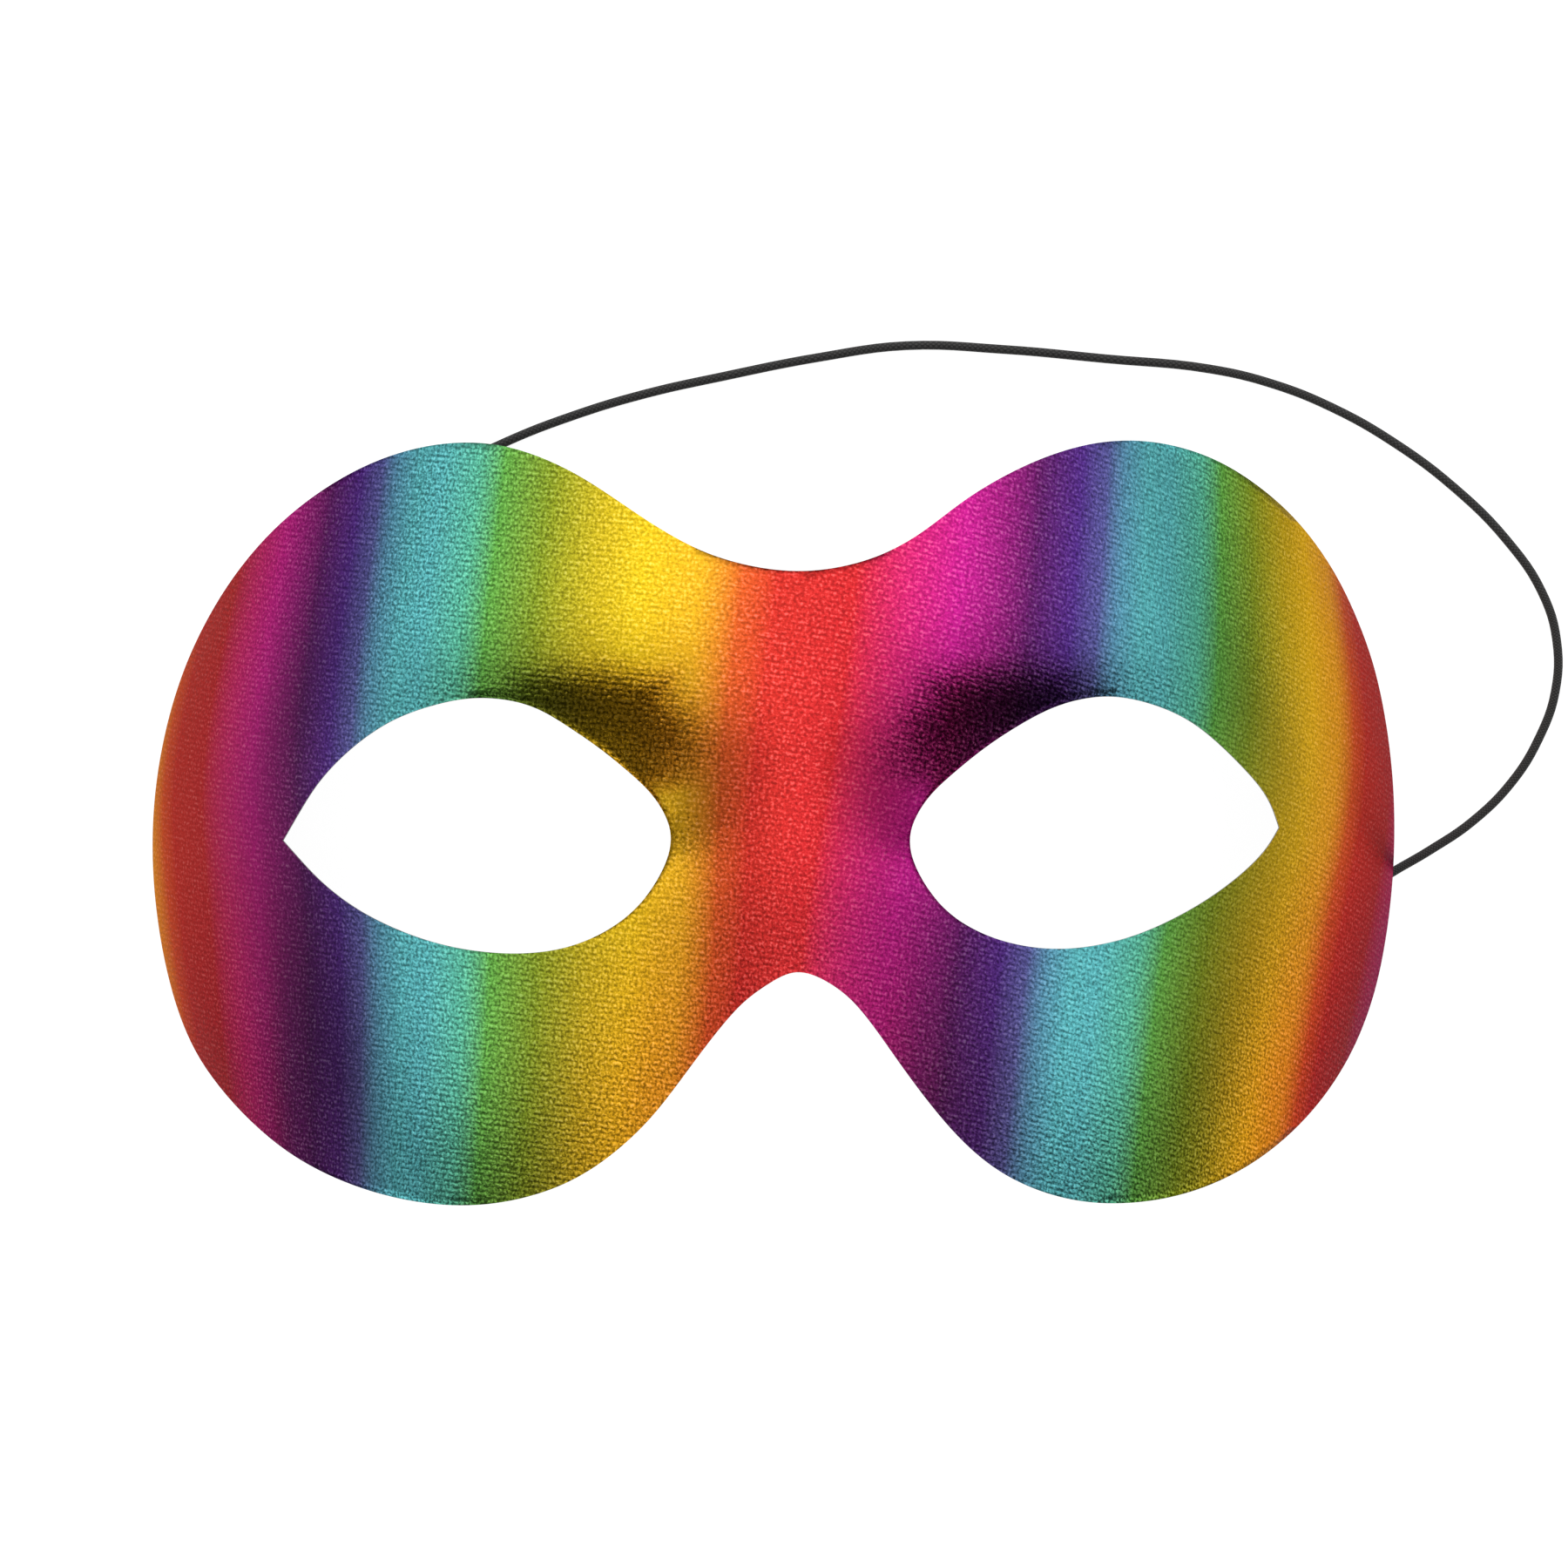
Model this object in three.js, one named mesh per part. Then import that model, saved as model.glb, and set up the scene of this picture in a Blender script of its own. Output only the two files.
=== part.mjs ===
// A half eye mask: a thin moulded plastic shell, covered in front with a rainbow foil cloth, and worn
// on one round elastic cord. It lies face up on its two temple rims.
//
// Millimetres. +Z points out of the mask's face, +Y to its brow, +X to the right of someone who looks
// at it. The origin is below the middle of the mask, on the surface that it lies on.

import * as THREE from "three";
import { mergeVertices } from "three/addons/utils/BufferGeometryUtils.js";

// Thickness of the layers, measured square to the surface.
const CLOTH_THICKNESS = 0.35;
const GLUE_GAP = 0.1;
const SHELL_THICKNESS = 0.85;

// The mask wraps round the head as part of a round wall, steepest at the temples.
const FACE_HEIGHT = 58;
const RIM_HEIGHT = 0.8;
const NOSE_LINE_X = 3;
const WRAP = 0.93;
const WRAP_END = 0.995;
const LEFT_SIDE = { reach: 88.65, pull: 0.0111, middleY: -3.9 };
const RIGHT_SIDE = { reach: 82.35, pull: 0.0092, middleY: -1.6 };
const PULL_FADE = 50;

// The forehead and the cheeks lean back a little from the brow and from the cheekbones.
const FOREHEAD = { startY: 26, radius: 96 };
const CHEEKS = { startY: -24, radius: 240 };
const LEAN_WIDTH = 70;

// What the face mould raises and sinks: x is the distance from the nose line, and the spreads say how
// wide each form is. The brow is steep below its crest, the sockets rise a little outwards, and they
// sink once more at the inner corner of each eye, beside the nose.
const BROW = { rise: 3.5, y: 23.8, spreadAbove: 14, spreadBelow: 10.4, reachX: 58 };
const SOCKET = { sink: 6.8, x: 31.2, y: 5.4, spreadX: 21.6, spreadY: 7.9, tilt: 0.05 };
const EYE_CORNER = { sink: 2.8, x: 17.9, y: 1.4, spreadX: 7.6, spreadY: 5.4 };
const NOSE = { rise: 6.8, topY: 28.6, length: 29.4, spreadX: 15.4 };
const CHEEKBONE = { rise: 2.2, x: 49, y: -38, spreadX: 20, spreadY: 19 };

// The trimmed edge in front view, from the dip between the brows round each side to the notch over
// the nose. The shell was trimmed by hand, so its two sides differ a little.
const DIP = [4.7, 32.2];
const NOTCH = [2.9, -18.9];
const LEFT_EDGE = [
  [-2.6, 32.8], [-9.9, 35.1], [-17.3, 39.5], [-25.8, 45.3], [-35.7, 49.3], [-45.7, 49.5],
  [-56, 46.5], [-66.5, 40.1], [-74.7, 31.6], [-80.4, 21.6], [-83.8, 9.7], [-84.9, -2.2],
  [-84.2, -14.1], [-82, -24.9], [-77.9, -33.7], [-67.8, -42.9], [-58.3, -47.5], [-48, -49.9],
  [-38.5, -50.1], [-29.8, -48.1], [-23, -44.6], [-16.1, -38.5], [-10.5, -31.1], [-4.8, -23.8],
  [-0.9, -20.7],
];
const RIGHT_EDGE = [
  [12.5, 33.8], [18.7, 37], [25, 41.9], [33, 46.5], [41.2, 49.4], [48.9, 50.1], [56.8, 48.7],
  [63.6, 45.6], [70.9, 40.2], [77.3, 32.2], [81.9, 21.6], [84.1, 9.7], [84.6, -1], [84.1, -11.8],
  [82.4, -22.5], [79, -31.4], [72.8, -39.3], [64.1, -45.6], [54.2, -49.2], [44.1, -50],
  [35.9, -48.5], [28.4, -44.8], [22.1, -38.8], [15.9, -30.6], [10.8, -23.5], [6.9, -20.3],
];

// The eye openings, each from its outer corner over the top and back below. The left one is cut to a
// sharp corner, and the right one's corner is rounded.
const LEFT_EYE = {
  middle: [-38, 0],
  sharpCorner: true,
  rim: [
    [-65.1, -2.6], [-59.4, 6.1], [-51.3, 12.6], [-43.6, 15.4], [-37.7, 16.1], [-31.5, 15],
    [-25.3, 11.4], [-19.6, 7.1], [-15.1, 2.7], [-13.1, -2], [-15.3, -8], [-20.1, -13.1],
    [-26.3, -16.1], [-33.5, -17.1], [-43, -16.1], [-52.4, -12.8], [-59.3, -8.4],
  ],
};
const RIGHT_EYE = {
  middle: [42, 0],
  sharpCorner: false,
  rim: [
    [67, -0.9], [65.7, 2.8], [61.7, 7.4], [55.1, 12.9], [49.2, 15.4], [43.3, 16.3], [37, 15.1],
    [29.7, 11.2], [23.4, 6.4], [19.4, 2.5], [17.3, -2.2], [19.1, -7.5], [23.2, -12.2],
    [28.9, -15.2], [36.7, -16.5], [45.6, -15.3], [54.4, -11.7], [61.7, -7], [65.7, -3.2],
  ],
};

// Where the trimmed edge turns from a punched one to a square one, across from the nose line, and the
// share of the way from the eye opening to the outer edge that keeps the punched rim.
const TEMPLE_FROM = [45, 75];
const EYE_RIM_SHARE = 0.35;

// The feet of the temple rims are ground flat on the surface, and the cloth stops just above it.
const SHELL_FLOOR = 0;
const CLOTH_FLOOR = 0.2;

// The elastic cord, and the dabs of glue that hold its ends inside the temples.
const CORD_DIAMETER = 1.25;
const CORD_SIDES = 8;
const CORD_STEPS = 78;
const CORD_LIFT = 0.02;
const DAB_RADIUS = 4;
const DAB_HEIGHT = 2.6;
const DAB_PROFILE = [[0, 0], [1, 0], [1, 0.6], [0.86, 0.86], [0.5, 0.97], [0, 1]];
const DAB_SEGMENTS = 20;
const DAB_GAP = 0.3;
const DAB_Y = -20;
const DAB_Z = 5.6;

// The cord's centre line: out of the dab in the right temple, under that rim, round in one loose loop on
// the table past the brow, in below the left brow, and into the dab in the left temple.
const CORD_ROUTE = [
  [79.3, -15.1, 4.97], [79.8, -12.9, 4.4], [80.4, -10.9, 2.6], [81.7, -9, 0.98], [83.9, -7.5, 0.63],
  [89.5, -4.2, 0.63], [95.4, -0.2, 0.63],
  [100.8, 5.2, 0.63], [104.4, 11, 0.63], [106.7, 17.5, 0.63], [106.9, 24.5, 0.63],
  [104.9, 31.1, 0.63], [100.1, 38.2, 0.63], [92.9, 45.4, 0.63], [84.6, 51.6, 0.63],
  [76.3, 56.3, 0.63], [68, 59.6, 0.63], [59.6, 61.6, 0.63], [45.4, 63, 0.63], [31.1, 64.3, 0.63],
  [18, 64.8, 0.63], [6.1, 63.2, 0.63], [-7, 60.6, 0.63], [-17.7, 58.2, 0.63], [-27.3, 55.3, 0.63],
  [-37, 51.5, 0.63], [-47, 46.3, 0.63], [-56.5, 39, 0.63], [-64.5, 29.5, 0.63], [-70.5, 18.5, 0.63],
  [-74.8, 7.5, 0.63], [-77.4, -2, 0.75], [-78.8, -7.4, 1.9], [-79.5, -11.3, 3.8], [-79.7, -15, 4.97],
];

// How finely the surface is divided.
const STEPS_PER_EDGE_POINT = 2;
const NOSE_LINE_STEPS = 12;
const ROWS = 7;
const CURVE_SAMPLES = 24;
const ROW_SAMPLES = 60;
const MERGE_WITHIN = 0.001;
const HALVINGS = 40;

const square = (value) => value * value;
const bell = (distance, spread) => Math.exp(-square(distance / spread));
const plateau = (distance, reach) => Math.exp(-square(square(distance / reach)));
const bothSides = (across, form) => form(across) + form(-across);

// Half the width that the round wall has at this height on the face.
function sideReach(x, y) {
  const side = x < NOSE_LINE_X ? LEFT_SIDE : RIGHT_SIDE;
  const up = square(y - side.middleY);
  return side.reach - (side.pull * up) / (1 + up / square(PULL_FADE));
}

// Depth of a round arc whose end is WRAP of the way to its widest point, from 0 in front to 1.
function arcDepth(share) {
  const turned = Math.min(Math.abs(WRAP * share), WRAP_END);
  return (1 - Math.sqrt(1 - square(turned))) / (1 - Math.sqrt(1 - square(WRAP)));
}

// What each form adds to or takes from the round wall.
function browHeight(across, y) {
  const spread = y > BROW.y ? BROW.spreadAbove : BROW.spreadBelow;
  return BROW.rise * bell(y - BROW.y, spread) * plateau(across, BROW.reachX);
}

function noseHeight(across, y) {
  const underBrow = 1 - bell(Math.min(y - BROW.y, 0), BROW.spreadBelow);
  const downNose = THREE.MathUtils.smoothstep(NOSE.topY - y, 0, NOSE.length);
  return (BROW.rise * underBrow + NOSE.rise * downNose) * bell(across, NOSE.spreadX);
}

function socketDepth(across, y) {
  const oneSide = (outwards) => {
    const past = outwards - SOCKET.x;
    return bell(past, SOCKET.spreadX) * bell(y - SOCKET.y - SOCKET.tilt * past, SOCKET.spreadY);
  };
  return SOCKET.sink * bothSides(across, oneSide);
}

function cornerDepth(across, y) {
  const oneSide = (outwards) => bell(outwards - EYE_CORNER.x, EYE_CORNER.spreadX);
  return EYE_CORNER.sink * bothSides(across, oneSide) * bell(y - EYE_CORNER.y, EYE_CORNER.spreadY);
}

function cheekboneHeight(across, y) {
  const oneSide = (outwards) => bell(outwards - CHEEKBONE.x, CHEEKBONE.spreadX);
  return CHEEKBONE.rise * bothSides(across, oneSide) * bell(y - CHEEKBONE.y, CHEEKBONE.spreadY);
}

// Height of the front surface over the table.
function surfaceHeight(x, y) {
  const across = x - NOSE_LINE_X;
  const lean =
    square(Math.max(y - FOREHEAD.startY, 0)) / (2 * FOREHEAD.radius) +
    square(Math.max(CHEEKS.startY - y, 0)) / (2 * CHEEKS.radius);
  return (
    RIM_HEIGHT +
    FACE_HEIGHT * (1 - arcDepth(across / sideReach(x, y))) -
    lean * plateau(across, LEAN_WIDTH) +
    browHeight(across, y) +
    noseHeight(across, y) +
    cheekboneHeight(across, y) -
    socketDepth(across, y) -
    cornerDepth(across, y)
  );
}

function surfaceNormal(x, y) {
  const step = 0.05;
  const slopeX = (surfaceHeight(x + step, y) - surfaceHeight(x - step, y)) / (2 * step);
  const slopeY = (surfaceHeight(x, y + step) - surfaceHeight(x, y - step)) / (2 * step);
  return new THREE.Vector3(-slopeX, -slopeY, 1).normalize();
}

// A smooth curve through points in front view.
function smoothCurve(points, closed) {
  const knots = points.map(([x, y]) => new THREE.Vector3(x, y, 0));
  return new THREE.CatmullRomCurve3(knots, closed, "centripetal");
}

// The whole trimmed edge is one closed curve, and each side of the mask takes its own stretch of it.
function trimmedEdge() {
  const round = [DIP, ...LEFT_EDGE, NOTCH, ...[...RIGHT_EDGE].reverse()];
  const steps = round.length * STEPS_PER_EDGE_POINT;
  const points = smoothCurve(round, true).getPoints(steps).slice(0, steps);
  const notchAt = (LEFT_EDGE.length + 1) * STEPS_PER_EDGE_POINT;
  return {
    left: points.slice(0, notchAt + 1),
    right: [points[0], ...points.slice(notchAt).reverse()],
  };
}

// The points of one side's outer ring: down the trimmed edge from the dip to the notch, then back up
// the line of the nose, where the two sides join.
function outerRing(edge) {
  const notch = edge[edge.length - 1];
  const noseLine = [];
  for (let step = 1; step < NOSE_LINE_STEPS; step += 1) {
    noseLine.push(notch.clone().lerp(edge[0], step / NOSE_LINE_STEPS));
  }
  return [...edge, ...noseLine];
}

// The eye rim's point in the direction of each point of the outer ring, seen from the eye's middle.
function eyeRing(eye, ring) {
  const middle = new THREE.Vector3(...eye.middle, 0);
  const knots = eye.sharpCorner ? [...eye.rim, eye.rim[0]] : eye.rim;
  const rim = smoothCurve(knots, !eye.sharpCorner).getPoints(eye.rim.length * CURVE_SAMPLES);
  const corner = rim[0];
  const turnFrom = (point, target) => {
    const a = point.clone().sub(middle);
    const b = target.clone().sub(middle);
    return a.x * b.y - a.y * b.x;
  };
  const crossing = (target) => {
    const toTarget = target.clone().sub(middle);
    for (let i = 0; i + 1 < rim.length; i += 1) {
      const before = turnFrom(rim[i], target);
      const after = turnFrom(rim[i + 1], target);
      const facesTarget = rim[i].clone().sub(middle).dot(toTarget) > 0;
      if (facesTarget && before * after <= 0 && before !== after) {
        return rim[i].clone().lerp(rim[i + 1], before / (before - after));
      }
    }
    throw new Error("the eye rim doesn't go round the eye's middle");
  };
  const inner = ring.map(crossing);
  const distances = inner.map((point) => point.distanceTo(corner));
  inner[distances.indexOf(Math.min(...distances))] = corner.clone();
  return inner;
}

// Places along a straight line in front view, evenly spaced over the surface itself.
function evenRows(from, to) {
  const lengths = [0];
  let last = null;
  for (let i = 0; i <= ROW_SAMPLES; i += 1) {
    const point = from.clone().lerp(to, i / ROW_SAMPLES);
    point.z = surfaceHeight(point.x, point.y);
    if (last) {
      lengths.push(lengths[lengths.length - 1] + point.distanceTo(last));
    }
    last = point;
  }
  const rows = [];
  for (let row = 0; row <= ROWS; row += 1) {
    const wanted = (lengths[ROW_SAMPLES] * row) / ROWS;
    const at = row === ROWS ? ROW_SAMPLES : lengths.findIndex((length) => length >= wanted);
    const before = Math.max(at - 1, 0);
    const stretch = lengths[at] - lengths[before];
    const share = stretch > 0 ? (wanted - lengths[before]) / stretch : 0;
    rows.push(from.clone().lerp(to, (before + share * (at - before)) / ROW_SAMPLES));
  }
  return rows;
}

// One side of the mask as a grid of places in front view, from the eye rim out to the outer ring.
function sideGrid(edge, eye) {
  const ring = outerRing(edge);
  const inner = eyeRing(eye, ring);
  return ring.map((point, index) => evenRows(inner[index], point));
}

// Which way the thickness goes at a place. The mask is punched straight through from the front, and
// only its steep temples are trimmed square to their surface.
function throughThickness(place, row) {
  const normal = surfaceNormal(place.x, place.y);
  const punched = new THREE.Vector3(0, 0, 1 / normal.z);
  const temple = THREE.MathUtils.smoothstep(Math.abs(place.x - NOSE_LINE_X), ...TEMPLE_FROM);
  const pastEye = THREE.MathUtils.smoothstep(row / ROWS, 0, EYE_RIM_SHARE);
  return punched.lerp(normal, temple * pastEye);
}

function layerPoint(place, row, depth, floor) {
  const point = throughThickness(place, row).multiplyScalar(-depth);
  point.x += place.x;
  point.y += place.y;
  point.z += surfaceHeight(place.x, place.y);
  point.z = Math.max(point.z, floor);
  return point;
}

// A closed layer between two depths under the front surface.
function layer(sides, outerDepth, innerDepth, floor) {
  const corners = [];
  const addQuad = (a, b, c, d, flip) => {
    const turned = flip ? [a, c, b, a, d, c] : [a, b, c, a, c, d];
    turned.forEach((point) => corners.push(point.x, point.y, point.z));
  };
  sides.forEach(({ grid, edgeSteps, flip }) => {
    const front = grid.map((rows) => rows.map((place, row) => layerPoint(place, row, outerDepth, floor)));
    const back = grid.map((rows) => rows.map((place, row) => layerPoint(place, row, innerDepth, floor)));
    grid.forEach((_, spoke) => {
      const next = (spoke + 1) % grid.length;
      for (let row = 0; row < ROWS; row += 1) {
        addQuad(front[spoke][row], front[spoke][row + 1], front[next][row + 1], front[next][row], flip);
        addQuad(back[spoke][row], back[next][row], back[next][row + 1], back[spoke][row + 1], flip);
      }
      addQuad(front[spoke][0], front[next][0], back[next][0], back[spoke][0], flip);
      if (spoke < edgeSteps) {
        addQuad(front[spoke][ROWS], back[spoke][ROWS], back[next][ROWS], front[next][ROWS], flip);
      }
    });
  });
  const geometry = new THREE.BufferGeometry();
  geometry.setAttribute("position", new THREE.Float32BufferAttribute(corners, 3));
  const merged = mergeVertices(geometry, MERGE_WITHIN);
  merged.computeVertexNormals();
  return merged;
}

// The place on the inside of a temple at a height over the table, found by halving the stretch it is in.
function templePlace(sign, y, height) {
  let near = sign * TEMPLE_FROM[0];
  let far = sign * sideReach(sign * TEMPLE_FROM[1], y) + NOSE_LINE_X;
  for (let halving = 0; halving < HALVINGS; halving += 1) {
    const middle = (near + far) / 2;
    if (surfaceHeight(middle, y) > height) {
      near = middle;
    } else {
      far = middle;
    }
  }
  const place = new THREE.Vector3(near, y, surfaceHeight(near, y));
  const normal = surfaceNormal(near, y);
  const depth = CLOTH_THICKNESS + GLUE_GAP + SHELL_THICKNESS + DAB_GAP;
  return { point: place.addScaledVector(normal, -depth), inward: normal.negate() };
}

// A flattened dab of glue with a steep side, its base against the inner wall.
function glueDab() {
  const profile = DAB_PROFILE.map(([out, up]) => new THREE.Vector2(out * DAB_RADIUS, up * DAB_HEIGHT));
  return new THREE.LatheGeometry(profile, DAB_SEGMENTS);
}

function placeDab(mesh, sign) {
  const { point, inward } = templePlace(sign, DAB_Y, DAB_Z);
  mesh.position.copy(point);
  mesh.quaternion.setFromUnitVectors(new THREE.Vector3(0, 1, 0), inward);
}

function cordGeometry() {
  const section = new THREE.Shape();
  for (let side = 0; side < CORD_SIDES; side += 1) {
    const angle = (2 * Math.PI * side) / CORD_SIDES;
    const x = (CORD_DIAMETER / 2) * Math.cos(angle);
    const y = (CORD_DIAMETER / 2) * Math.sin(angle);
    if (side === 0) {
      section.moveTo(x, y);
    } else {
      section.lineTo(x, y);
    }
  }
  section.closePath();
  const points = CORD_ROUTE.map(([x, y, z]) => new THREE.Vector3(x, y, z + CORD_LIFT));
  const extrudePath = new THREE.CatmullRomCurve3(points, false, "centripetal");
  return new THREE.ExtrudeGeometry(section, { steps: CORD_STEPS, extrudePath, bevelEnabled: false });
}

const plastic = new THREE.MeshStandardMaterial({ color: 0x141416, roughness: 0.45, metalness: 0 });
const foilCloth = new THREE.MeshStandardMaterial({ color: 0xd8402c, roughness: 0.4, metalness: 0.5 });
const elastic = new THREE.MeshStandardMaterial({ color: 0x1b1b1d, roughness: 0.8, metalness: 0 });
const glue = new THREE.MeshStandardMaterial({ color: 0xd9d2bf, roughness: 0.35, metalness: 0 });

function named(name, geometry, material) {
  const mesh = new THREE.Mesh(geometry, material);
  mesh.name = name;
  return mesh;
}

const edge = trimmedEdge();
const sides = [
  { grid: sideGrid(edge.left, LEFT_EYE), edgeSteps: edge.left.length - 1, flip: false },
  { grid: sideGrid(edge.right, RIGHT_EYE), edgeSteps: edge.right.length - 1, flip: true },
];
const shellDepth = CLOTH_THICKNESS + GLUE_GAP;

const mask = new THREE.Group();
mask.add(named("fabric", layer(sides, 0, CLOTH_THICKNESS, CLOTH_FLOOR), foilCloth));
mask.add(named("shell", layer(sides, shellDepth, shellDepth + SHELL_THICKNESS, SHELL_FLOOR), plastic));

const leftDab = named("cord_dab_left", glueDab(), glue);
placeDab(leftDab, -1);
const rightDab = named("cord_dab_right", glueDab(), glue);
placeDab(rightDab, 1);
mask.add(leftDab, rightDab);
mask.add(named("cord", cordGeometry(), elastic));

export default mask;
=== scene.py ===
# %% [markdown]
# # A half eye mask, from its measured frame to a picture
# The mask is a thin black plastic shell, formed over a face mould. A rainbow foil knit is glued
# over its front, and one elastic cord holds it on. It lies face up on a table, on the rims of its
# two temples. The frame holds each piece as a plain solid of the right size. This lesson gives each
# piece its real finish: soft edges, knitted foil, moulded plastic, glue and a braided cord.

# %% Load the frame
import math

import bpy
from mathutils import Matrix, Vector


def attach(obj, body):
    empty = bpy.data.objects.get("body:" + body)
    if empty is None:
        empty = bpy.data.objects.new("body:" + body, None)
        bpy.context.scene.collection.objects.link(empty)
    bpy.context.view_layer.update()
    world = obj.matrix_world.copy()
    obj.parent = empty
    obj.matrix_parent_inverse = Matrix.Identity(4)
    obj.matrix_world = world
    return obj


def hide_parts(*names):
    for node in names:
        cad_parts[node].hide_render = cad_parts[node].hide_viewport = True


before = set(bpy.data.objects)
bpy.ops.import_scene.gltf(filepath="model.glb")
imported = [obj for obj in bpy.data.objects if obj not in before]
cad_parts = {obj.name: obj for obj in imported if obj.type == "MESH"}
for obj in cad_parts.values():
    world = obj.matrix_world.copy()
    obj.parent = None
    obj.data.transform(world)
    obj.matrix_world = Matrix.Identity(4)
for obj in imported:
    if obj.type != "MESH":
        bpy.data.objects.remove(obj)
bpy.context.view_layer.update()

MM = 0.001
print("nodes:", sorted(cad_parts))

# %% [markdown]
# ## The camera
# The camera comes first, because the free cord has to lie inside its view. It looks straight down
# from one metre with a long lens, so the mask hardly narrows with height. A short lens from close
# by would show the same width, but would make the nose look too big. The camera's own axis is -Z,
# so straight down needs no turn at all.

# %% Place the camera
CAMERA_PLACE = Vector((1.31, 4.9, 1000)) * MM
LONG_LENS = 167.9

camera_data = bpy.data.cameras.new("camera")
camera_data.lens = LONG_LENS
camera = bpy.data.objects.new("camera", camera_data)
camera.location = CAMERA_PLACE
bpy.context.scene.collection.objects.link(camera)
bpy.context.scene.camera = camera
print("camera height:", camera.location.z, "m, lens:", camera_data.lens, "mm")

# %% [markdown]
# ## The cord's route
# The elastic is about 1.25 mm thick and 0.3 m long. It comes out of a dab of glue in the right
# temple, dips under that rim, runs in one loose loop past the brow and ends in a dab in the left
# temple. It could be simulated as it falls, but its route is known, so a curve through a list of
# points is the simplest way to lay it, and auto handles keep it smooth.

# %% Lay the cord's centre line
CORD_DIAMETER = 1.25 * MM
CORD_ROUTE = [
    (79.16, -16.6, 4.75), (79.3, -15.1, 4.99), (79.8, -12.9, 4.42), (80.4, -10.9, 2.62),
    (81.7, -9, 1), (83.9, -7.5, 0.65), (89.5, -4.2, 0.65), (95.4, -0.2, 0.65), (100.8, 5.2, 0.65),
    (104.4, 11, 0.65), (106.7, 17.5, 0.65), (106.9, 24.5, 0.65), (104.9, 31.1, 0.65),
    (100.1, 38.2, 0.65), (92.9, 45.4, 0.65), (84.6, 51.6, 0.65), (76.3, 56.3, 0.65),
    (68, 59.6, 0.65), (59.6, 61.6, 0.65), (45.4, 63, 0.65), (31.1, 64.3, 0.65), (18, 64.8, 0.65),
    (6.1, 63.2, 0.65), (-7, 60.6, 0.65), (-17.7, 58.2, 0.65), (-27.3, 55.3, 0.65),
    (-37, 51.5, 0.65), (-47, 46.3, 0.65), (-56.5, 39, 0.65), (-64.5, 29.5, 0.65),
    (-70.5, 18.5, 0.65), (-74.8, 7.5, 0.65), (-77.4, -2, 0.77), (-78.8, -7.4, 1.92),
    (-79.5, -11.3, 3.82), (-79.7, -15, 4.99), (-79.45, -16.6, 4.8),
]
STEPS_TO_A_POINT = 6
STEPS_ROUND_A_QUARTER = 4

cord_line = bpy.data.curves.new("elastic_cord", "CURVE")
cord_line.dimensions = "3D"
cord_line.resolution_u = STEPS_TO_A_POINT
cord_line.bevel_depth = CORD_DIAMETER / 2
cord_line.bevel_resolution = STEPS_ROUND_A_QUARTER
cord_line.use_fill_caps = True
spline = cord_line.splines.new("BEZIER")
spline.bezier_points.add(len(CORD_ROUTE) - 1)
for point, place in zip(spline.bezier_points, CORD_ROUTE):
    point.co = Vector(place) * MM
    point.handle_left_type = "AUTO"
    point.handle_right_type = "AUTO"
cord = bpy.data.objects.new("elastic_cord", cord_line)
bpy.context.scene.collection.objects.link(cord)
print("cord length:", round(spline.calc_length(), 4), "m")

# %% [markdown]
# ## Helpers for editing by hand
# Every operator works on what is selected, and loading the frame leaves its nodes selected. So each
# step starts by selecting one object alone.

# %% Select one object alone
def pick(piece):
    bpy.ops.object.select_all(action="DESELECT")
    piece.select_set(True)
    bpy.context.view_layer.objects.active = piece


def say(piece):
    faces = piece.data.polygons
    triangles = sum(len(face.vertices) - 2 for face in faces)
    print(piece.name, "has", len(faces), "faces,", triangles, "triangles")


# %% [markdown]
# ## From a faceted layer to a smooth one
# The cloth and the shell are thin layers with cut rims. Each frame node is a mesh of loose
# triangles. A finer mesh could be modelled anew, but a copy of the node already has the right size
# and place. So the copy is merged, its triangles are joined in fours, and its cut rims get a
# crease, and then a subdivision surface rounds the face but keeps the rims crisp.

# %% Make a smooth layer of a node
RIM_ANGLE = math.radians(40)
MERGE_WITHIN = 0.001 * MM
ANY_ANGLE = math.pi
FOLLOW_THE_ROWS = 1.3
SMOOTH_LEVELS = 2


def smooth_layer(node, name):
    piece = bpy.data.objects.new(name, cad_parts[node].data.copy())
    bpy.context.scene.collection.objects.link(piece)
    pick(piece)
    bpy.ops.object.mode_set(mode="EDIT")
    bpy.ops.mesh.select_mode(type="EDGE")
    bpy.ops.mesh.select_all(action="SELECT")
    bpy.ops.mesh.remove_doubles(threshold=MERGE_WITHIN)
    bpy.ops.mesh.tris_convert_to_quads(
        face_threshold=ANY_ANGLE, shape_threshold=ANY_ANGLE, topology_influence=FOLLOW_THE_ROWS)
    bpy.ops.mesh.select_all(action="DESELECT")
    bpy.ops.mesh.edges_select_sharp(sharpness=RIM_ANGLE)
    bpy.ops.transform.edge_crease(value=1.0)
    bpy.ops.object.mode_set(mode="OBJECT")
    smooth = piece.modifiers.new("smooth", "SUBSURF")
    smooth.levels = smooth.render_levels = SMOOTH_LEVELS
    bpy.ops.object.modifier_apply(modifier=smooth.name)
    bpy.ops.object.shade_smooth_by_angle(angle=RIM_ANGLE)
    say(piece)
    return piece


# %% Make the cloth and the shell
cloth = smooth_layer("fabric", "foil_cloth")
shell = smooth_layer("shell", "moulded_shell")

# %% [markdown]
# ## A map for the cloth
# The stripe and the knit belong to the flat cloth, before it was pulled over the mould. A pattern
# that is only projected from the front would smear down the steep temples. So the cloth gets a map
# of its own in millimetres: one side counts across the stripes and the other across the rows of
# knitting. Round the temples the map follows the arc of the wall.

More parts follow.
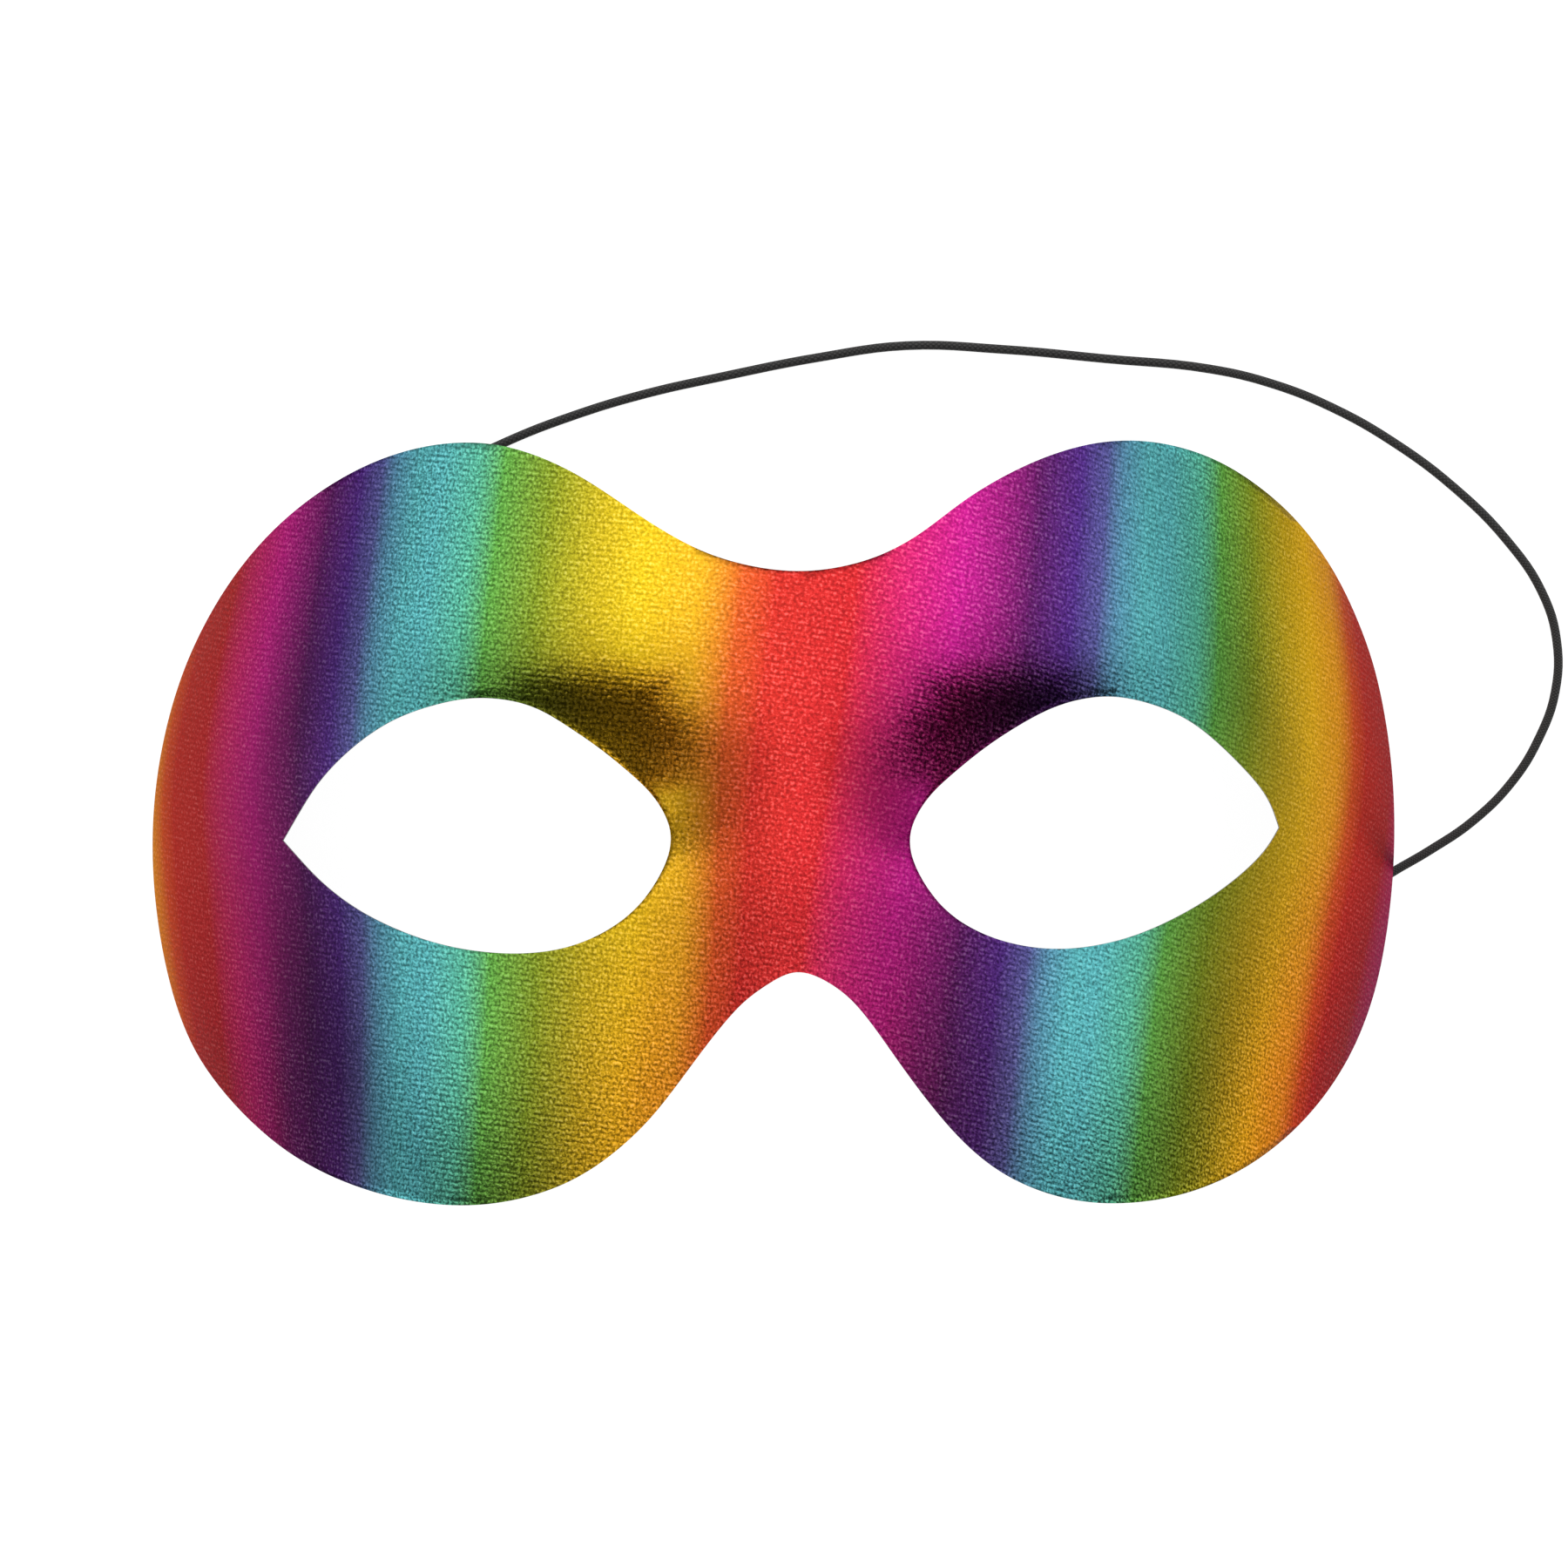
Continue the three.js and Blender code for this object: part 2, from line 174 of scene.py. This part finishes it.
# %% Follow the arc of the wall
NOSE_LINE_X = 3
WRAP = 0.93
WRAP_END = 0.995
LEFT_RIM_X = -84
LEFT_SIDE = {"reach": 88.65, "pull": 0.0111, "middle_y": -3.9}
RIGHT_SIDE = {"reach": 82.35, "pull": 0.0092, "middle_y": -1.6}
PULL_FADE = 50


def across_the_wall(x, y):
    side = LEFT_SIDE if x < NOSE_LINE_X else RIGHT_SIDE
    up = (y - side["middle_y"]) ** 2
    reach = side["reach"] - side["pull"] * up / (1 + up / PULL_FADE ** 2)
    turned = max(-WRAP_END, min(WRAP_END, WRAP * (x - NOSE_LINE_X) / reach))
    return reach / WRAP * math.asin(turned)


print("from the nose to the left rim:", round(-across_the_wall(LEFT_RIM_X, 0)), "mm of cloth")

# %% [markdown]
# The cloth was pulled on a little askew, and the nose takes up more of it than the forehead does,
# so the stripes lean. The rows of knitting run down to the right, and more steeply on the right
# half.

# %% Lay the flat cloth over the mould
ASKEW = 0.108
NOSE_TAKES = {"most": 3.2, "from_y": -3, "height": 12, "width": 22}
ROWS_LEAN = {"all_over": 0.1, "more_on_the_right": 0.17, "from": 4, "softly": 6}


def across_the_stripes(x, y):
    down_the_nose = math.tanh((y - NOSE_TAKES["from_y"]) / NOSE_TAKES["height"])
    beside_the_nose = math.tanh(x / NOSE_TAKES["width"])
    taken = NOSE_TAKES["most"] * down_the_nose * beside_the_nose
    return across_the_wall(x, y) - ASKEW * y - taken


def across_the_rows(x, y):
    wall = across_the_wall(x, y)
    soft = ROWS_LEAN["softly"]
    right_half = soft * math.log1p(math.exp((wall - ROWS_LEAN["from"]) / soft))
    return y + ROWS_LEAN["all_over"] * wall + ROWS_LEAN["more_on_the_right"] * right_half


cloth_map = cloth.data.uv_layers.new(name="cloth_map")
for loop, corner in zip(cloth.data.loops, cloth_map.uv):
    place = cloth.data.vertices[loop.vertex_index].co / MM
    corner.vector = (across_the_stripes(place.x, place.y), across_the_rows(place.x, place.y))
stripe_places = [corner.vector.x for corner in cloth_map.uv]
print("stripe map runs from", round(min(stripe_places)), "to", round(max(stripe_places)), "mm")

# %% [markdown]
# ## The glue dabs
# Each end of the cord is held by a dab of hot glue inside the temple. Glue sets as a low dome with
# a soft foot. A squashed sphere would do too, but the dab of the frame already lies on the slanted
# wall, so it is subdivided in the same way as the layers.

# %% Round the glue dabs
left_dab = smooth_layer("cord_dab_left", "glue_dab_left")
right_dab = smooth_layer("cord_dab_right", "glue_dab_right")

# %% [markdown]
# ## Turn the cord's curve into a tube
# The cord could stay a curve, but as a mesh tube it keeps a map of its own, along and around it,
# which the braid will follow.

# %% Make the tube
pick(cord)
bpy.ops.object.convert(target="MESH")
bpy.ops.object.shade_smooth_by_angle(angle=RIM_ANGLE)
say(cord)

# %% [markdown]
# ## Helpers for materials
# A material is a small tree of nodes. These helpers add one node at a time, and take either a
# number or another node's output for each input.

# %% Start a material
def new_material(name):
    material = bpy.data.materials.new(name)
    material.use_nodes = True
    return material, material.node_tree, material.node_tree.nodes["Principled BSDF"]


def put(tree, target, value):
    if isinstance(value, bpy.types.NodeSocket):
        tree.links.new(value, target)
    else:
        target.default_value = value


def place_on_piece(tree):
    return tree.nodes.new("ShaderNodeTexCoord").outputs["Object"]


def place_on_map(tree, map_name):
    node = tree.nodes.new("ShaderNodeUVMap")
    node.uv_map = map_name
    return node.outputs["UV"]


def split(tree, value):
    node = tree.nodes.new("ShaderNodeSeparateXYZ")
    tree.links.new(value, node.inputs[0])
    return node.outputs["X"], node.outputs["Y"], node.outputs["Z"]


# %% Work with numbers
def calculate(tree, node_type, operation, values):
    node = tree.nodes.new(node_type)
    node.operation = operation
    for socket, value in zip(node.inputs, values):
        put(tree, socket, value)
    return node.outputs[0]


def sums(tree, operation, *values):
    return calculate(tree, "ShaderNodeMath", operation, values)


def span(tree, value, from_low, from_high, to_low=0, to_high=1):
    node = tree.nodes.new("ShaderNodeMapRange")
    for socket, number in zip(node.inputs, (value, from_low, from_high, to_low, to_high)):
        put(tree, socket, number)
    return node.outputs[0]


# %% [markdown]
# ## The rainbow stripe
# The foil is printed in one soft stripe after another, and the same order of colours comes back
# every 97 mm. It could be painted as a picture, but a colour ramp stays sharp at any size and is
# easy to change. The ramp holds one repeat and closes on its first colour, and the fraction of the
# way along the map reads it. Each colour is written as a screen shows it, from 0 to 255, and turned
# into the light that Blender needs.

# %% Set the colours of one repeat
REPEAT = 97
REPEAT_START = -9.8
STRIPE = [
    (0.00, (213, 90, 38)), (0.04, (202, 50, 41)), (0.13, (198, 41, 46)), (0.20, (202, 37, 112)),
    (0.26, (194, 32, 138)), (0.36, (98, 32, 104)), (0.42, (86, 48, 138)), (0.46, (93, 94, 160)),
    (0.49, (94, 156, 185)), (0.53, (96, 188, 193)), (0.57, (96, 190, 193)), (0.63, (95, 191, 159)),
    (0.67, (100, 172, 74)), (0.74, (134, 154, 40)), (0.82, (200, 176, 32)), (0.88, (230, 192, 30)),
    (0.95, (230, 172, 34)),
]


def screen_colour(red, green, blue):
    def linear(value):
        value /= 255
        return value / 12.92 if value <= 0.04045 else ((value + 0.055) / 1.055) ** 2.4
    return (linear(red), linear(green), linear(blue))


dyes = [(place, screen_colour(*colour)) for place, colour in STRIPE]
print("one repeat:", REPEAT, "mm,", len(dyes), "colours")

# %% Make a colour ramp
def ramp(tree, along, colours):
    node = tree.nodes.new("ShaderNodeValToRGB")
    stops = node.color_ramp.elements
    stops.remove(stops[-1])
    stops[0].position = colours[0][0]
    stops[0].color = (*colours[0][1], 1)
    for place, colour in colours[1:] + [(1.0, colours[0][1])]:
        stops.new(place).color = (*colour, 1)
    tree.links.new(along, node.inputs["Fac"])
    return node.outputs["Color"]


# %% Dye the foil
foil, tree, shader = new_material("rainbow_foil_knit")
on_cloth = place_on_map(tree, "cloth_map")
across, along, _ = split(tree, on_cloth)
repeats = sums(tree, "DIVIDE", sums(tree, "SUBTRACT", across, REPEAT_START), REPEAT)
phase = sums(tree, "FRACT", repeats)
dye = ramp(tree, phase, dyes)
print("stripe starts at", REPEAT_START, "mm on the cloth's map")

# %% [markdown]
# ## The foil knit
# The cloth is knitted in fine rows, three quarters of a millimetre apart, of flat foil thread.
# Every thread could be modelled, but that takes millions of faces, and at arm's length only the
# rows and their glitter show. Along a row the foil rises and sinks without any strict order, so
# each row gets a soft noise of its own, and larger flecks run over them all. Both come from the
# cloth's own map.

# %% Knit the rows
ROW_PITCH = 0.746
ROW_WANDER = 0.9
WANDER_SCALE = 0.9


def noise(tree, place, scale, detail):
    node = tree.nodes.new("ShaderNodeTexNoise")
    tree.links.new(place, node.inputs["Vector"])
    node.inputs["Scale"].default_value = scale
    node.inputs["Detail"].default_value = detail
    return node.outputs


wander = noise(tree, on_cloth, WANDER_SCALE, detail=2)["Fac"]
row = sums(tree, "MULTIPLY_ADD", wander, ROW_WANDER, sums(tree, "DIVIDE", along, ROW_PITCH))
row_arch = sums(tree, "SINE", sums(tree, "MULTIPLY", sums(tree, "FRACT", row), math.pi))
print("knit:", round(10 / ROW_PITCH, 1), "rows to a centimetre")

# %% Lay stitches and flecks along the rows
STITCH_LENGTH = 0.34
ROW_TO_ROW = 7.3
FLECK_SCALE = 2.5
NOISE_RANGE = (0.3, 0.7)
LOWEST_DASH = 0.2

in_stitches = tree.nodes.new("ShaderNodeCombineXYZ")
put(tree, in_stitches.inputs["X"], sums(tree, "DIVIDE", across, STITCH_LENGTH))
put(tree, in_stitches.inputs["Y"], sums(tree, "MULTIPLY", sums(tree, "FLOOR", row), ROW_TO_ROW))
stitch = noise(tree, in_stitches.outputs[0], scale=1, detail=1)
dashes = sums(tree, "MULTIPLY", row_arch, span(tree, stitch["Fac"], *NOISE_RANGE, LOWEST_DASH, 1))
fleck = noise(tree, on_cloth, FLECK_SCALE, detail=1)
flecks = span(tree, fleck["Fac"], *NOISE_RANGE)
print("stitches:", round(10 / STITCH_LENGTH, 1), "to a centimetre")

# %% Mix stitches and flecks
FLECKS_IN_THREAD = 0.3
FLECKS_IN_SHINE = 0.6


def between(tree, first, second, share):
    step = sums(tree, "MULTIPLY", sums(tree, "SUBTRACT", second, first), share)
    return sums(tree, "ADD", first, step)


thread = between(tree, dashes, flecks, FLECKS_IN_THREAD)
shine = between(tree, dashes, flecks, FLECKS_IN_SHINE)
print("flecks:", FLECKS_IN_THREAD, "of the thread's height,", FLECKS_IN_SHINE, "of its shine")

# %% [markdown]
# ## Painted shade: deeper and duller colours
# Foil looks deeper where less light falls on it, gold instead of yellow and wine instead of
# magenta, so that shade is painted into the dye. The steep temples are painted darker and duller,
# partly because the cloth is stretched thin there and partly as painted shade. One darker grey
# would lose that change of colour. So three more ramps say what share of each colour is left: in
# painted low light, on the stretched and shaded temples, and on the low temples, which are both.

# %% Set what is left of each colour
# Painted shade: the share of each colour that is left in low light.
LOW_LIGHT = [
    (0.00, (0.95, 0.66, 1.0)), (0.06, (0.85, 0.9, 1.0)), (0.14, (0.78, 1.0, 1.0)),
    (0.22, (0.75, 1.0, 0.75)), (0.27, (0.72, 1.0, 0.54)), (0.32, (0.62, 1.0, 0.6)),
    (0.37, (0.77, 0.85, 0.64)), (0.42, (0.75, 0.64, 0.54)), (0.47, (0.82, 0.76, 0.74)),
    (0.52, (1.0, 0.98, 1.0)), (0.6, (1.14, 1.1, 1.12)), (0.66, (1.2, 1.12, 1.15)),
    (0.71, (1.02, 1.03, 1.08)), (0.78, (0.84, 0.8, 1.02)), (0.86, (0.97, 0.76, 1.0)),
    (0.93, (1.0, 0.68, 1.0)),
]
# Painted shade on the steep temples, partly the duller look of stretched foil.
STRETCHED_AND_SHADED = [
    (0.00, (0.92, 0.68, 0.7)), (0.06, (0.8, 0.82, 0.75)), (0.12, (0.74, 0.86, 0.8)),
    (0.20, (0.72, 0.85, 0.64)), (0.26, (0.7, 0.82, 0.55)), (0.32, (0.54, 0.75, 0.5)),
    (0.38, (0.72, 0.7, 0.54)), (0.46, (0.86, 0.9, 0.66)), (0.60, (0.9, 0.86, 0.72)),
    (0.70, (0.86, 0.76, 0.6)), (0.78, (0.92, 0.74, 0.7)), (0.86, (1.0, 0.7, 0.75)),
    (0.94, (1.0, 0.66, 0.75)),
]
# Painted shade on the low temples, strongest from magenta to purple.
LOW_TEMPLE_SHADE = [
    (0.00, (1.0, 1.0, 1.0)), (0.05, (1.0, 0.7, 1.0)), (0.10, (1.0, 0.5, 0.85)),
    (0.18, (1.0, 0.4, 0.8)), (0.22, (0.84, 0.34, 0.8)), (0.26, (0.42, 0.26, 0.68)),
    (0.30, (0.1, 0.2, 0.58)), (0.34, (0.16, 0.28, 0.84)), (0.38, (0.36, 0.34, 0.9)),
    (0.46, (1.0, 1.0, 1.0)),
]
print("shares:", len(LOW_LIGHT), "in low light,", len(STRETCHED_AND_SHADED), "stretched_and_shaded")

# %% [markdown]
# The cloth is stretched hardest round the temples, so the distance from the nose finds it, and
# there the temples also get painted shade. The painted low light is on the cheeks, below the eyes,
# and on the underside of the brow, where the surface faces down the face. Each of these measures
# rises softly from 0 to 1 and blends its own ramp of painted shade over the dye.

# %% Find the stretched and shaded temples and the low light
STRETCH_AND_SHADE_FROM_NOSE = (0.052, 0.084)
CHEEKS_FROM_Y = (-0.004, -0.034)
FACING_DOWN_THE_FACE = (-0.06, -0.36)

spot_x, spot_y, _ = split(tree, place_on_piece(tree))
normal = tree.nodes.new("ShaderNodeNewGeometry").outputs["Normal"]
_, facing_y, _ = split(tree, normal)
from_nose = sums(tree, "ABSOLUTE", sums(tree, "SUBTRACT", spot_x, NOSE_LINE_X * MM))
# This measure places both the stretch and the painted shade of the temples.
stretched_and_shaded = span(tree, from_nose, *STRETCH_AND_SHADE_FROM_NOSE)
# The cheeks below the eyes get painted shade.
below_eyes = span(tree, spot_y, *CHEEKS_FROM_Y)
# The underside of the brow, found by the way the surface faces, gets painted shade too.
under_brow = span(tree, facing_y, *FACING_DOWN_THE_FACE)
low_light = sums(tree, "MAXIMUM", below_eyes, under_brow)
# The low temples get painted shade of their own.
low_temple_shade = sums(tree, "MULTIPLY", stretched_and_shaded, below_eyes)
print("stretched from", STRETCH_AND_SHADE_FROM_NOSE[0] / MM, "mm beside the nose")

# %% Paint the shade into the dye
MEASURES = ((stretched_and_shaded, STRETCHED_AND_SHADED), (low_light, LOW_LIGHT), (low_temple_shade, LOW_TEMPLE_SHADE))
FIRST_COLOUR, SECOND_COLOUR = 6, 7    # the mix node lists numbers and vectors before colours
MIXED_COLOUR = 2


def blend_colours(tree, how, share, first, second):
    node = tree.nodes.new("ShaderNodeMix")
    node.data_type = "RGBA"
    node.blend_type = how
    put(tree, node.inputs["Factor"], share)
    put(tree, node.inputs[FIRST_COLOUR], first)
    put(tree, node.inputs[SECOND_COLOUR], second)
    return node.outputs[MIXED_COLOUR]


# The three ramps paint shade into the dye.
shaded_dye = dye
for how_much, shares in MEASURES:
    shaded_dye = blend_colours(tree, "MULTIPLY", how_much, shaded_dye, ramp(tree, phase, shares))
print("dye worn by", len(MEASURES), "measures")

# %% [markdown]
# ## Painted shade in the gaps, and painted glints
# The dye is darker in the gaps between the threads, where shade falls, so that shade is painted,
# and it is painted deeper under the brow. The gaps seem to close where the foil is pulled flat at
# the temples, and, as painted light, where the dye has much red in it, from magenta to yellow, in
# full light. The brightest flecks get a paler painted glint, and the stretched foil a faint painted
# sheen.

# %% Shade the gaps
GAP_SHADE = (0.15, 0.75, 0.37, 1.3)
DEEP_GAP_SHADE = (0.25, 0.8, 0.1, 1.7)
DEEP_UNDER_BROW = 0.6
FILLED_SHADE = 0.87
STRETCH_FILLS = 0.75
FULL_LIGHT_FILLS = 0.62

# Painted shade in the gaps between the threads.
gaps = span(tree, shine, *GAP_SHADE)
# The gaps under the brow get deeper painted shade.
deep_share = sums(tree, "MULTIPLY", under_brow, DEEP_UNDER_BROW)
gaps = between(tree, gaps, span(tree, shine, *DEEP_GAP_SHADE), deep_share)
# The gaps' painted shade lifts where the foil is pulled flat and, as painted light, where red dye
# is in full light.
red_in_dye, _, _ = split(tree, dye)
in_full_light = sums(tree, "MULTIPLY", red_in_dye, sums(tree, "SUBTRACT", 1, low_light))
flat_or_fully_lit = sums(tree, "MAXIMUM", sums(tree, "MULTIPLY", stretched_and_shaded, STRETCH_FILLS),
              sums(tree, "MULTIPLY", in_full_light, FULL_LIGHT_FILLS))
gaps = between(tree, gaps, FILLED_SHADE, flat_or_fully_lit)
print("gaps keep", GAP_SHADE[2], "of the dye, and", DEEP_GAP_SHADE[2], "under the brow")

# %% Paint the glints and the sheen of the temples
GLINTS = (0.55, 0.9, 0.0, 0.07)
TEMPLE_SHEEN = 0.016
GLINT_COLOUR = (1, 0.93, 0.86, 1)

gap_shaded_dye = blend_colours(tree, "MULTIPLY", 1.0, shaded_dye, gaps)
# Painted glints on the brightest flecks, and a faint painted sheen on the stretched temples.
painted_glint_and_sheen = sums(tree, "MULTIPLY_ADD", stretched_and_shaded, TEMPLE_SHEEN, span(tree, shine, *GLINTS))
put(tree, shader.inputs["Base Color"], blend_colours(tree, "MIX", painted_glint_and_sheen, gap_shaded_dye, GLINT_COLOUR))
print("foil cloth so far:", len(tree.nodes), "nodes")

# %% [markdown]
# Each stitch is tilted a small random step from the surface, which makes the cloth glitter, and the
# threads stand up as a fine bump, less so where the foil is pulled flat and where the dye is in
# painted full light. Foil is nearly all metal, and rougher where it has cracked at the temples.

# %% Tilt the stitches
STITCH_TILT = (0.34, 0.34, 0.34)
NOISE_MIDDLE = (0.5, 0.5, 0.5)
THREAD_HEIGHT = 0.045
FILLED_FLATTENS = (0, 0.53, 1, 0.3)


def bump(tree, height, distance, strength=1.0, normal=None):
    node = tree.nodes.new("ShaderNodeBump")
    tree.links.new(height, node.inputs["Height"])
    node.inputs["Distance"].default_value = distance
    put(tree, node.inputs["Strength"], strength)
    if normal is not None:
        tree.links.new(normal, node.inputs["Normal"])
    return node.outputs["Normal"]


def vector_sums(tree, operation, *values):
    return calculate(tree, "ShaderNodeVectorMath", operation, values)


tilt = vector_sums(tree, "SUBTRACT", fleck["Color"], NOISE_MIDDLE)
tilted = vector_sums(tree, "MULTIPLY_ADD", tilt, STITCH_TILT, normal)
tilted = vector_sums(tree, "NORMALIZE", tilted)
bump_strength = span(tree, flat_or_fully_lit, *FILLED_FLATTENS)
put(tree, shader.inputs["Normal"], bump(
    tree, thread, THREAD_HEIGHT * MM, bump_strength, tilted))
print("threads stand up", THREAD_HEIGHT, "mm")

# %% Set the gloss
THREAD_ROUGHNESS = (0.3, 0.2)
CRACKED_ROUGHER = 0.1
FOIL_METAL = 0.97
FOIL_EDGE_TINT = (0.42, 0.42, 0.42, 1)

put(tree, shader.inputs["Roughness"], sums(
    tree, "MULTIPLY_ADD", stretched_and_shaded, CRACKED_ROUGHER, span(tree, thread, 0, 1, *THREAD_ROUGHNESS)))
shader.inputs["Metallic"].default_value = FOIL_METAL
shader.inputs["Specular Tint"].default_value = FOIL_EDGE_TINT
print("foil cloth:", len(tree.nodes), "nodes")

# %% [markdown]
# ## The moulded shell
# The back of the shell is bare black plastic, as it came off the mould: satin, a little uneven, and
# greyer where fingers have rubbed it. Plain black would look like a hole, so one slow noise rubs it
# and a fine one gives it grain. Both are read in the piece's own space, so they need no map.

# %% Make the black plastic
RUB_SCALE = 60
GRAIN_SCALE = 1800
RUBBED_FROM = (0.4, 0.75)
PLASTIC_BLACK = (0.006, 0.006, 0.007, 1)
RUBBED_BLACK = (0.016, 0.016, 0.017, 1)
SATIN = (0.34, 0.5)
UNEVEN_HEIGHT = 0.25
UNEVEN_STRENGTH = 0.6
GRAIN_HEIGHT = 0.02

plastic, tree, shader = new_material("black_moulded_plastic")
place = place_on_piece(tree)
rubbed = noise(tree, place, RUB_SCALE, detail=4)["Fac"]
grain = noise(tree, place, GRAIN_SCALE, detail=3)["Fac"]
put(tree, shader.inputs["Base Color"], blend_colours(
    tree, "MIX", span(tree, rubbed, *RUBBED_FROM), PLASTIC_BLACK, RUBBED_BLACK))
put(tree, shader.inputs["Roughness"], span(tree, rubbed, *NOISE_RANGE, *SATIN))
uneven = bump(tree, rubbed, UNEVEN_HEIGHT * MM, UNEVEN_STRENGTH)
put(tree, shader.inputs["Normal"], bump(tree, grain, GRAIN_HEIGHT * MM, normal=uneven))
print("black plastic:", len(tree.nodes), "nodes")

# %% [markdown]
# ## Glue and elastic
# Hot glue dries milky and smooth, and light sinks a little way into it. The elastic has a fine
# black braid round its rubber core. Its threads are too thin to model one by one, so two sets of
# waves cross on the cord's own map.

# %% Make the glue
CLOUD_SCALE = 420
CLEAR_GLUE = (0.62, 0.57, 0.47, 1)
MILKY_GLUE = (0.8, 0.77, 0.7, 1)
GLUE_ROUGHNESS = (0.22, 0.38)
CLOUD_HEIGHT = 0.12
LIGHT_THAT_SINKS = 0.5
LIGHT_SINKS_IN = (0.002, 0.0018, 0.0015)

glue, tree, shader = new_material("dried_hot_glue")
clouds = noise(tree, place_on_piece(tree), CLOUD_SCALE, detail=3)["Fac"]
put(tree, shader.inputs["Base Color"], blend_colours(tree, "MIX", clouds, CLEAR_GLUE, MILKY_GLUE))
put(tree, shader.inputs["Roughness"], span(tree, clouds, *NOISE_RANGE, *GLUE_ROUGHNESS))
put(tree, shader.inputs["Normal"], bump(tree, clouds, CLOUD_HEIGHT * MM))
shader.inputs["Subsurface Weight"].default_value = LIGHT_THAT_SINKS
shader.inputs["Subsurface Radius"].default_value = LIGHT_SINKS_IN
print("glue:", len(tree.nodes), "nodes")

# %% Make the braided elastic
BRAIDS_ALONG = 620
BRAIDS_ROUND = 6
BRAID_GAP = (0.008, 0.008, 0.008, 1)
BRAID_THREAD = (0.024, 0.022, 0.021, 1)
BRAID_ROUGHNESS = (0.85, 0.55)
BRAID_HEIGHT = 0.08

elastic, tree, shader = new_material("black_braided_elastic")
along_cord, round_cord, _ = split(tree, place_on_map(tree, cord.data.uv_layers[0].name))
length_way = sums(tree, "MULTIPLY", along_cord, BRAIDS_ALONG * math.pi)
round_way = sums(tree, "MULTIPLY", round_cord, BRAIDS_ROUND * math.pi)
threads = [sums(tree, "ABSOLUTE", sums(tree, "SINE", sums(tree, way, length_way, round_way)))
           for way in ("ADD", "SUBTRACT")]
braid = sums(tree, "MULTIPLY", *threads)
put(tree, shader.inputs["Base Color"], blend_colours(tree, "MIX", braid, BRAID_GAP, BRAID_THREAD))
put(tree, shader.inputs["Roughness"], span(tree, braid, 0, 1, *BRAID_ROUGHNESS))
put(tree, shader.inputs["Normal"], bump(tree, braid, BRAID_HEIGHT * MM))

# %% [markdown]
# ## Dress the pieces
# Each piece gets its material and the body that it moves with, and the frame node that it
# replaces is hidden. The mask has no joint, so all ride on one body.

# %% Dress the pieces
def dress(piece, material, node):
    piece.data.materials.clear()
    piece.data.materials.append(material)
    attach(piece, "root")
    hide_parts(node)
    print(piece.name, "wears", material.name)


dress(cloth, foil, "fabric")
dress(shell, plastic, "shell")
dress(left_dab, glue, "cord_dab_left")
dress(right_dab, glue, "cord_dab_right")
dress(cord, elastic, "cord")

# %% [markdown]
# ## The table
# The mask lies on a plain white light table, as small things do for a product picture. Most of the
# table's white comes from below, so the mask casts only a faint shadow. The glow is a square with
# round corners and fades outside it, so the steep temples of the mask mirror a white floor and the
# gentler slopes a grey one. The sixth powers of both distances from the middle give that round
# square.

# %% Make the table
TABLE_SIZE = 3
TABLE_Z = -0.0002
TABLE_WHITE = (0.2, 0.2, 0.2, 1)
TABLE_ROUGHNESS = 0.9
TABLE_GLOW = 0.94
EDGE_GLOW = 0.3
GLOW_HALF_WIDTH = (0.115, 0.21)
ROUND_SQUARE = 6
WHITE = (1, 1, 1, 1)

bpy.ops.mesh.primitive_plane_add(size=TABLE_SIZE, location=(0, 0, TABLE_Z))
table = bpy.context.object
table.name = "table"
paper, tree, shader = new_material("white_light_table")
shader.inputs["Base Color"].default_value = TABLE_WHITE
shader.inputs["Roughness"].default_value = TABLE_ROUGHNESS
shader.inputs["Specular IOR Level"].default_value = 0
shader.inputs["Emission Color"].default_value = WHITE
powers = [sums(tree, "POWER", sums(tree, "ABSOLUTE", side), ROUND_SQUARE)
          for side in split(tree, place_on_piece(tree))[:2]]
outwards = sums(tree, "POWER", sums(tree, "ADD", *powers), 1 / ROUND_SQUARE)
put(tree, shader.inputs["Emission Strength"], span(
    tree, outwards, *GLOW_HALF_WIDTH, TABLE_GLOW, EDGE_GLOW))
table.data.materials.append(paper)
print("the table glows to", GLOW_HALF_WIDTH[0] / MM, "mm from the middle")

# %% [markdown]
# ## The light
# Foil mirrors what is round it, so the room is most of its look. Lamps would show in it as small
# hard spots, so this room is one soft white dome. It is brightest beyond the brow, fades all the
# way down, and is dark on the near side. That dark side draws the hollows under the brow.

# %% Paint the dome
DOME_LIGHT = 1.9
DOME_LOWEST = 0.07
DOWN_TO_UP = (-1, 1)
NEAR_SIDE = (-0.6, -0.25)
BEYOND_BROW = (-0.1, 0.55)
OVERHEAD = 0.58

dome = bpy.data.worlds.new("soft_dome")
dome.use_nodes = True
tree = dome.node_tree
_, far, high = split(tree, tree.nodes.new("ShaderNodeTexCoord").outputs["Generated"])
upwards = span(tree, high, *DOWN_TO_UP)
off_near_side = span(tree, far, *NEAR_SIDE)
beyond_brow = span(tree, far, *BEYOND_BROW, OVERHEAD, 1)
level = sums(tree, "MULTIPLY", sums(tree, "MULTIPLY", upwards, off_near_side), beyond_brow)
level = sums(tree, "MULTIPLY_ADD", level, DOME_LIGHT, DOME_LOWEST)
background = tree.nodes["Background"]
background.inputs["Color"].default_value = WHITE
put(tree, background.inputs["Strength"], level)
bpy.context.scene.world = dome
bpy.context.scene.view_settings.view_transform = "Standard"
print("dome light: from", DOME_LOWEST, "to", DOME_LIGHT + DOME_LOWEST)
